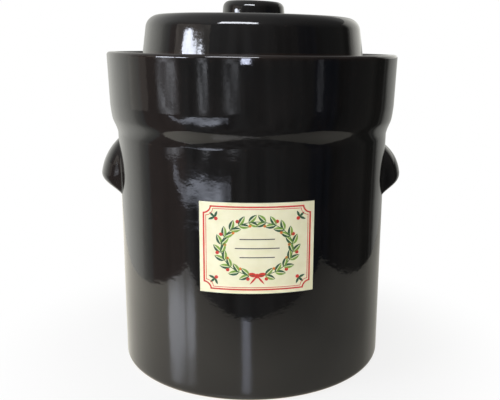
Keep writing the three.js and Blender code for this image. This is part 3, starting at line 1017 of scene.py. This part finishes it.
table_top = make_table_top()
table = add_floor("table", TABLE_LEFT, TABLE_RIGHT, TABLE_FRONT, TABLE_BACK, -FLOOR_DROP)
table.data.materials.append(table_top)
surround = add_floor("surround", -SURROUND, SURROUND, -SURROUND, SURROUND, -2 * FLOOR_DROP)
surround.data.materials.append(table_top)
surround.visible_diffuse = False
surround.visible_glossy = False
surround.visible_transmission = False
surround.visible_shadow = False


# How bright the studio is all round: degrees from the front, to the right, and radiance
STUDIO_STRENGTH = 1.2
STUDIO_LEVELS = [
    (-180, 0.5), (-158, 0.8), (-150, 1.05), (-138, 1.2), (-122, 1.22), (-114, 1.1), (-110, 0.98),
    (-106, 0.68), (-101, 0.48), (-96, 0.4), (-95, 0.28), (-60, 0.28), (-54, 0.27), (-30, 0.21),
    (0, 0.165), (20, 0.145), (36, 0.125), (45, 0.1), (49, 0.06), (64, 0.06), (70, 0.075), (80, 0.09),
    (104, 0.1), (111, 0.05), (121.5, 0.045), (123, 0.14), (124.5, 0.14), (126, 0.045), (133, 0.46),
    (143, 0.56), (156, 0.55), (180, 0.5),
]
OVERHEAD_LEFT = 0.65
OVERHEAD_RIGHT = 0.2
BACKDROP_TINT = (1.0, 1.0, 0.94)
BOARD_TINT = (0.97, 0.99, 1.0)
WARM_BOARD_TINT = (1.1, 0.9, 0.84)
COOL_BOARD_TINT = (0.75, 0.95, 1.35)


def studio_tint(degrees):
    """The colour cast of what stands in one direction."""
    if abs(degrees) > 100:
        return BACKDROP_TINT
    if -96 < degrees < -55:
        return WARM_BOARD_TINT
    if 46 < degrees < 65:
        return COOL_BOARD_TINT
    return BOARD_TINT


def make_world():
    """White to the camera. To the glaze: a backdrop behind, dim uneven boards in front, paler overhead."""
    world = bpy.data.worlds.new("studio")
    bpy.context.scene.world = world
    world.use_nodes = True
    tree = world.node_tree
    background = tree.nodes["Background"]
    out = tree.nodes["World Output"]
    way = add_node(tree, "ShaderNodeTexCoord").outputs["Generated"]
    parts = add_node(tree, "ShaderNodeSeparateXYZ", {0: way})
    front = add_node(tree, "ShaderNodeMath", {0: parts.outputs["Y"], 1: -1.0}, operation="MULTIPLY")
    turn = add_node(tree, "ShaderNodeMath", {0: parts.outputs["X"], 1: front.outputs["Value"]},
                    operation="ARCTAN2")
    share = add_node(tree, "ShaderNodeMapRange", {
        "Value": turn.outputs["Value"], "From Min": -math.pi, "From Max": math.pi})
    walls = add_node(tree, "ShaderNodeValToRGB", {"Fac": share.outputs["Result"]})
    stops = []
    for degrees, level in STUDIO_LEVELS:
        colour = [level / STUDIO_STRENGTH * part for part in studio_tint(degrees)]
        stops.append(((degrees + 180) / 360, (*colour, 1)))
    set_ramp(walls, stops)
    overhead = add_node(tree, "ShaderNodeMapRange", {
        "Value": parts.outputs["X"], "From Min": -0.7, "From Max": 0.7,
        "To Min": OVERHEAD_LEFT / STUDIO_STRENGTH, "To Max": OVERHEAD_RIGHT / STUDIO_STRENGTH})
    high = add_node(tree, "ShaderNodeMapRange", {
        "Value": parts.outputs["Z"], "From Min": 0.05, "From Max": 0.8}, interpolation_type="SMOOTHSTEP")
    in_front = add_node(tree, "ShaderNodeMath", {0: parts.outputs["Y"], 1: -2.0}, operation="MULTIPLY",
                        use_clamp=True)
    upright = add_node(tree, "ShaderNodeVectorMath", {0: way, 1: (9.0, 9.0, 1.5)}, operation="MULTIPLY")
    streaks = add_node(tree, "ShaderNodeTexNoise", {
        "Vector": upright.outputs["Vector"], "Scale": 1.0, "Detail": 2.0})
    shade = add_node(tree, "ShaderNodeMapRange", {
        "Value": streaks.outputs["Fac"], "From Min": 0.3, "From Max": 0.7, "To Min": -0.4, "To Max": 0.4})
    uneven = add_node(tree, "ShaderNodeMath", {
        0: shade.outputs["Result"], 1: in_front.outputs["Value"], 2: 1.0}, operation="MULTIPLY_ADD")
    boards = add_node(tree, "ShaderNodeVectorMath", {
        0: walls.outputs["Color"], "Scale": uneven.outputs["Value"]}, operation="SCALE")
    seen = add_node(tree, "ShaderNodeMix", {
        0: high.outputs["Result"], 6: boards.outputs["Vector"], 7: overhead.outputs["Result"]},
        data_type="RGBA")
    tree.links.new(seen.outputs[2], background.inputs["Color"])
    background.inputs["Strength"].default_value = STUDIO_STRENGTH
    white = add_node(tree, "ShaderNodeBackground", {"Color": (1, 1, 1, 1), "Strength": 1.0})
    path = add_node(tree, "ShaderNodeLightPath")
    either = add_node(tree, "ShaderNodeMixShader", {
        0: path.outputs["Is Camera Ray"], 1: background.outputs["Background"],
        2: white.outputs["Background"]})
    tree.links.new(either.outputs["Shader"], out.inputs["Surface"])


make_world()


def fade_sides(tree, parts, level, soft):
    """Lets a panel's light fall off towards its left and right sides."""
    rest = add_node(tree, "ShaderNodeMath", {0: 1.0, 1: parts.outputs["X"]}, operation="SUBTRACT")
    near = add_node(tree, "ShaderNodeMath", {0: parts.outputs["X"], 1: rest.outputs["Value"]},
                    operation="MINIMUM")
    side = add_node(tree, "ShaderNodeMapRange", {"Value": near.outputs["Value"], "From Max": soft},
                    interpolation_type="SMOOTHSTEP")
    faded = add_node(tree, "ShaderNodeMath", {0: level, 1: side.outputs["Result"]}, operation="MULTIPLY")
    return faded.outputs["Value"]


def mask_panel(tree, parts, mist, level, lit):
    """Masks a panel to the heights between which it shines, with a ragged edge."""
    reach = add_node(tree, "ShaderNodeValToRGB", {"Fac": parts.outputs["X"]})
    set_ramp(reach, [(across, (low_end, high_end, 0, 1)) for across, low_end, high_end in lit])
    ends = add_node(tree, "ShaderNodeSeparateColor", {0: reach.outputs["Color"]})
    ragged = add_node(tree, "ShaderNodeMath", {0: mist.outputs["Fac"], 1: 0.5, 2: -0.25},
                      operation="MULTIPLY_ADD")
    height = parts.outputs["Y"]
    for upper, lower in ((ends.outputs["Green"], height), (height, ends.outputs["Red"])):
        gap = add_node(tree, "ShaderNodeMath", {0: upper, 1: lower}, operation="SUBTRACT")
        torn = add_node(tree, "ShaderNodeMath", {0: gap.outputs["Value"], 1: ragged.outputs["Value"]},
                        operation="ADD")
        fade = add_node(tree, "ShaderNodeMapRange", {
            "Value": torn.outputs["Value"], "From Min": -0.02, "From Max": 0.04},
            interpolation_type="SMOOTHSTEP")
        masked = add_node(tree, "ShaderNodeMath", {0: level, 1: fade.outputs["Result"]}, operation="MULTIPLY")
        level = masked.outputs["Value"]
    return level


def add_panel(name, left, right, low, high, distance, strength, colour, cloud=0.0, soft=0.0, lit=None,
              mirrored=True, lighting=True):
    """A flat lamp that spans two azimuths and two heights, seen by the glaze, by the rest, or by both.

    cloud is how unevenly it shines, soft the share of its width over which its sides fade, and lit
    the heights between which it shines at some places across it, all as shares of the panel.
    """
    middle = math.radians((left + right) / 2)
    place = Vector((math.sin(middle) * distance, -math.cos(middle) * distance, (low + high) / 2))
    lamp = bpy.data.lights.new(name, "AREA")
    lamp.shape = "RECTANGLE"
    lamp.size = 2 * distance * math.tan(math.radians(right - left) / 2)
    lamp.size_y = high - low
    lamp.energy = strength * math.pi * lamp.size * lamp.size_y
    lamp.color = linear(colour)[:3]
    lamp.use_nodes = True
    tree = lamp.node_tree
    spot = add_node(tree, "ShaderNodeNewGeometry").outputs["Parametric"]
    parts = add_node(tree, "ShaderNodeSeparateXYZ", {0: spot})
    mist = add_node(tree, "ShaderNodeTexNoise", {
        "Vector": spot, "Scale": 3.0, "Detail": 4.0, "Roughness": 0.6})
    level = add_node(tree, "ShaderNodeMapRange", {
        "Value": mist.outputs["Fac"], "From Min": 0.4, "From Max": 0.6,
        "To Min": 1 - cloud, "To Max": 1 + cloud}).outputs["Result"]
    if soft:
        level = fade_sides(tree, parts, level, soft)
    if lit:
        level = mask_panel(tree, parts, mist, level, lit)
    tree.links.new(level, tree.nodes["Emission"].inputs["Strength"])
    panel = bpy.data.objects.new(name, lamp)
    bpy.context.scene.collection.objects.link(panel)
    panel.location = place
    back = Vector((place.x, place.y, 0)).normalized()
    panel.rotation_euler = back.to_track_quat("Z", "Y").to_euler()
    panel.visible_camera = False
    panel.visible_glossy = mirrored
    panel.visible_diffuse = lighting


# Lamps: softboxes and scrims from the left to the front, strips at the right and overhead, a sheet behind
DAYLIGHT = "#eaf0ff"
COOL_WHITE = "#f2f6ff"
WARM_WHITE = "#fff6ea"
SOFTBOX_STRENGTH = 23
add_panel("left_softbox", -74, -57.5, 0.40, 0.71, 1.5, SOFTBOX_STRENGTH, DAYLIGHT, cloud=0.15,
          lit=((0, 0, 0.74), (0.26, 0, 0.95), (0.5, 0, 0.95), (0.8, 0, 0.86), (1.0, 0, 0.82)))
add_panel("left_softbox_wing", -56.2, -48, 0.40, 0.71, 1.5, SOFTBOX_STRENGTH, DAYLIGHT, cloud=0.2,
          lit=((0, 0, 0.82), (1.0, 0, 0.72)))
add_panel("left_scrim", -84, -44, 0.38, 0.95, 1.6, 0.5, WARM_WHITE, cloud=0.4)
add_panel("left_board", -105, -84, 0.0, 0.38, 1.55, 0.3, WARM_WHITE)
add_panel("low_scrim", -76, -54, -0.04, 0.38, 1.55, 1.45, COOL_WHITE, cloud=0.6, soft=0.3)
add_panel("low_sheet", -65, -17, -0.2, 0.02, 1.1, 3.0, "#e6edff", cloud=0.6, soft=0.02,
          lit=((0, 0.76, 0.94), (0.07, 0.64, 0.86), (0.15, 0.54, 0.77), (0.3, 0.46, 0.75), (0.45, 0.43, 0.81),
               (0.6, 0.4, 0.84), (0.75, 0.4, 0.79), (1.0, 0.4, 0.7)))
add_panel("middle_scrim", -41, -31, -0.04, 0.38, 1.55, 1.3, COOL_WHITE, cloud=0.7, soft=0.3)
add_panel("front_scrim", -23.5, -8, -0.04, 0.38, 1.55, 0.8, COOL_WHITE, cloud=0.7, soft=0.35)
add_panel("right_strip", 46, 52.5, 0.0, 0.38, 1.55, 0.35, COOL_WHITE, cloud=0.4, soft=0.3)
add_panel("top_strip", -38, 4, 1.08, 1.5, 1.2, 22, "#f4f7ff", lighting=False)
add_panel("rim_card", -9, -1, 0.25, 0.5, 1.0, 20, "#dfe6ff", cloud=0.3, soft=0.2)
add_panel("back_sheet", 112, 170, 0.36, 1.2, 1.6, 0.65, "#fffdf5", soft=0.25, lighting=False)
add_panel("front_fill", -30, 25, 0.6, 1.4, 1.8, 3.3, "#fffaf0", mirrored=False)
